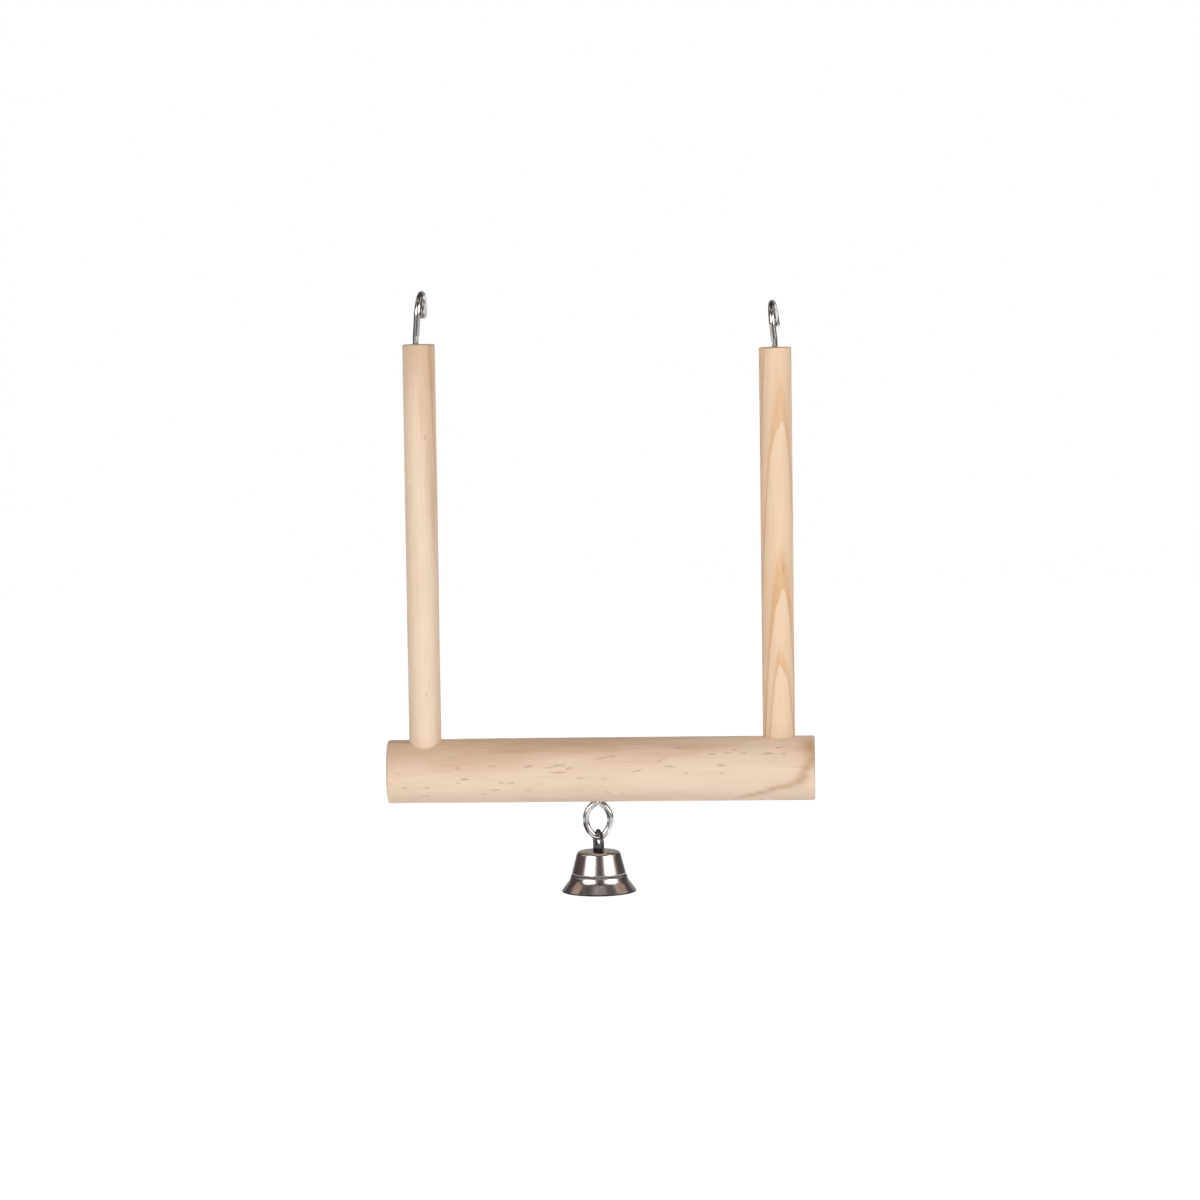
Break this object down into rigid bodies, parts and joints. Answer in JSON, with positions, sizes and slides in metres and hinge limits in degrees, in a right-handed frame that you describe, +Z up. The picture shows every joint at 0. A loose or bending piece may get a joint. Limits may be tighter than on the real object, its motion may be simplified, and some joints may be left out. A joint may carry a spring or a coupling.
{
  "type": "bird swing",
  "caption": "Wooden bird swing: a thick dowel perch carried by slimmer dowel uprights with wire screw hooks on top, and a small clapper bell hung from a screw eye below.",
  "frame": {"origin": "midway between the centres of the two hook bends, on the axis the swing hangs from", "axes": "+Z up, +X along the perch to the right, -Y to the front"},
  "size_m": [0.132, 0.0271, 0.1862],
  "materials": {
    "pine_perch": "sanded, bare",
    "pine_upright": "sanded, bare",
    "zinc_wire": "bright zinc plate",
    "dark_steel": "dark satin",
    "nickel_bell": "nickel plate, polished"
  },
  "bodies": {
    "swing_frame": {"perch": "pine_perch", "left_upright": "pine_upright", "right_upright": "pine_upright", "left_hook": "zinc_wire", "right_hook": "zinc_wire", "screw_eye": "zinc_wire"},
    "bell": {"bell_hanger": "dark_steel", "bell_shell": "nickel_bell"},
    "clapper_link": {"clapper_link": "zinc_wire"},
    "clapper": {"clapper": "dark_steel"}
  },
  "joints": [
    {"name": "bell_swing", "type": "hinge", "parent": "swing_frame", "child": "bell", "pos_m": [-0.00158, -0.00668, -0.15978], "axis": [1, 0, 0], "range_deg": [-85, 85]},
    {"name": "clapper_link_swing", "type": "hinge", "parent": "bell", "child": "clapper_link", "pos_m": [-0.00158, -0.00668, -0.16703], "axis": [0.4067, -0.9135, 0], "range_deg": [-38, 38]},
    {"name": "clapper_swing", "type": "hinge", "parent": "clapper_link", "child": "clapper", "pos_m": [-0.00158, -0.00668, -0.16935], "axis": [0.9135, 0.4067, 0], "range_deg": [-45, 45]}
  ]
}
